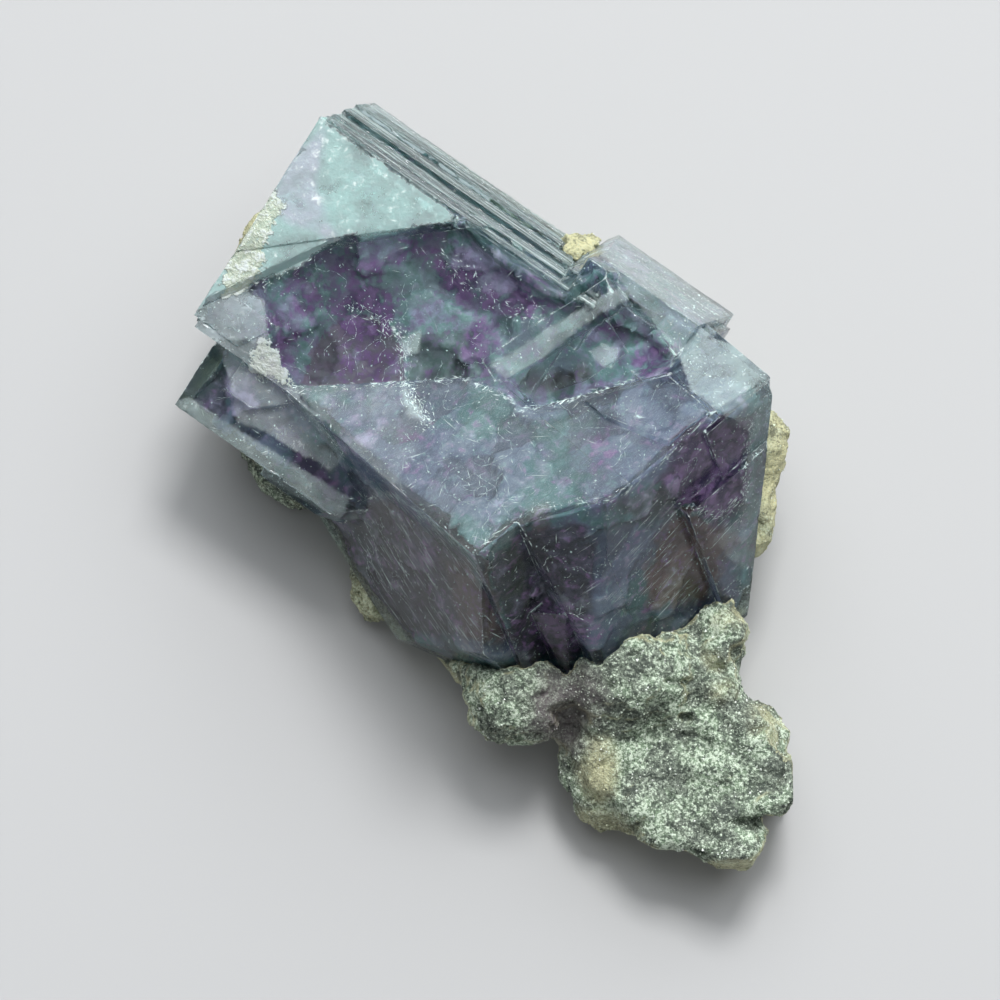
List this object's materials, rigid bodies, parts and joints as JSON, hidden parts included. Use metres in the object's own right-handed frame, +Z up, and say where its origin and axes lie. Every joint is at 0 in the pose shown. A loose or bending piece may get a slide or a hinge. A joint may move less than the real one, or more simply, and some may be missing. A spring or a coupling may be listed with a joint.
{
  "type": "fluorite specimen",
  "caption": "Hand-sized mineral specimen: intergrown translucent blue-green and purple fluorite cubes with a stepped, striated side, on a tongue of grey granular rock, flat underneath.",
  "frame": {"origin": "on the surface that the specimen lies on, under the middle of its bounding box", "axes": "+Z up, out of the crystal side; +Y from the tip of the rock tongue towards the big cube with the striated side; +X to the right as seen from the front"},
  "size_m": [0.053, 0.0676, 0.0299],
  "materials": {
    "fluorite": "gloss",
    "matrix": "matte"
  },
  "bodies": {
    "root": {"fluorite_crystals": "fluorite", "matrix_rock": "matrix"}
  },
  "joints": []
}
